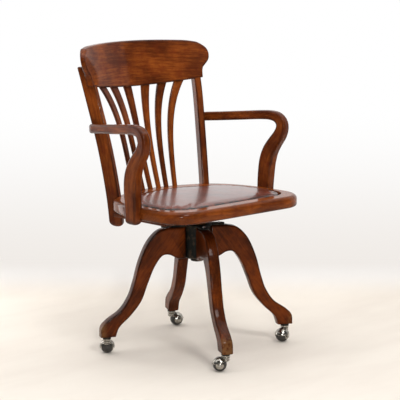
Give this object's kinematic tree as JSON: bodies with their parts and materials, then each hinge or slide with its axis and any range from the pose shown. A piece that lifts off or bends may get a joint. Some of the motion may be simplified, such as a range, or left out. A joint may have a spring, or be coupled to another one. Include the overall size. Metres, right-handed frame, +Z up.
{
  "type": "swivel armchair",
  "caption": "Bankers swivel chair with bent crest rail, fanned slats, bent arms, a leather seat pad, an iron swivel and arched legs on hooded ball casters.",
  "frame": {"origin": "on the floor under the middle of the chair's bounding box, 19.7 mm in front of the swivel axis", "axes": "+Z up, parallel to the swivel axis, -Y the way that the sitter faces, +X towards the sitter's left"},
  "size_m": [0.573, 0.5678, 0.875],
  "materials": {
    "seat_wood": "varnished oak, warm brown, glossy",
    "leg_wood": "varnished oak, darker brown",
    "pad_leather": "polished brown leather",
    "pad_board": "bare plywood",
    "iron": "black enamelled cast iron",
    "steel": "turned steel",
    "chrome": "chrome plate",
    "rubber": "dark grey rubber",
    "washer_brass": "oiled brass"
  },
  "bodies": {
    "base": {"hub_casting": "iron", "thrust_washer": "washer_brass", "leg_1": "leg_wood", "leg_2": "leg_wood", "leg_3": "leg_wood", "leg_4": "leg_wood", "caster_socket_1": "iron", "caster_socket_2": "iron", "caster_socket_3": "iron", "caster_socket_4": "iron"},
    "seat": {"seat_plank": "seat_wood", "pad_board": "pad_board", "seat_pad": "pad_leather", "batten_left": "leg_wood", "batten_right": "leg_wood", "seat_spider": "iron", "spindle": "steel", "spindle_nut": "iron", "crest_rail": "seat_wood", "post_left": "seat_wood", "post_right": "seat_wood", "arm_left": "seat_wood", "arm_right": "seat_wood", "slat_1": "seat_wood", "slat_2": "seat_wood", "slat_3": "seat_wood", "slat_4": "seat_wood", "slat_5": "seat_wood", "slat_6": "seat_wood"},
    "caster_1": {"caster_hood_1": "chrome", "caster_axle_1": "steel", "caster_stem_1": "chrome"},
    "wheel_1": {"caster_core_1": "chrome", "caster_tyre_1": "rubber"},
    "caster_2": {"caster_hood_2": "chrome", "caster_axle_2": "steel", "caster_stem_2": "chrome"},
    "wheel_2": {"caster_core_2": "chrome", "caster_tyre_2": "rubber"},
    "caster_3": {"caster_hood_3": "chrome", "caster_axle_3": "steel", "caster_stem_3": "chrome"},
    "wheel_3": {"caster_core_3": "chrome", "caster_tyre_3": "rubber"},
    "caster_4": {"caster_hood_4": "chrome", "caster_axle_4": "steel", "caster_stem_4": "chrome"},
    "wheel_4": {"caster_core_4": "chrome", "caster_tyre_4": "rubber"}
  },
  "joints": [
    {"name": "seat_swivel", "type": "hinge", "parent": "base", "child": "seat", "pos_m": [0, -0.0197, 0.37], "axis": [0, 0, 1], "continuous": true},
    {"name": "caster_swivel_1", "type": "hinge", "parent": "base", "child": "caster_1", "pos_m": [-0.12216, -0.26049, 0.045], "axis": [0, 0, 1], "continuous": true},
    {"name": "wheel_spin_1", "type": "hinge", "parent": "caster_1", "child": "wheel_1", "pos_m": [-0.13367, -0.24937, 0.0193], "axis": [-0.6947, -0.7193, 0], "continuous": true},
    {"name": "caster_swivel_2", "type": "hinge", "parent": "base", "child": "caster_2", "pos_m": [0.24078, -0.14186, 0.045], "axis": [0, 0, 1], "continuous": true},
    {"name": "wheel_spin_2", "type": "hinge", "parent": "caster_2", "child": "wheel_2", "pos_m": [0.22557, -0.1468, 0.0193], "axis": [0.309, -0.9511, 0], "continuous": true},
    {"name": "caster_swivel_3", "type": "hinge", "parent": "base", "child": "caster_3", "pos_m": [0.12216, 0.22108, 0.045], "axis": [0, 0, 1], "continuous": true},
    {"name": "wheel_spin_3", "type": "hinge", "parent": "caster_3", "child": "wheel_3", "pos_m": [0.13666, 0.21432, 0.0193], "axis": [0.4226, 0.9063, 0], "continuous": true},
    {"name": "caster_swivel_4", "type": "hinge", "parent": "base", "child": "caster_4", "pos_m": [-0.24078, 0.10245, 0.045], "axis": [0, 0, 1], "continuous": true},
    {"name": "wheel_spin_4", "type": "hinge", "parent": "caster_4", "child": "wheel_4", "pos_m": [-0.22967, 0.11396, 0.0193], "axis": [-0.7193, 0.6947, 0], "continuous": true}
  ]
}
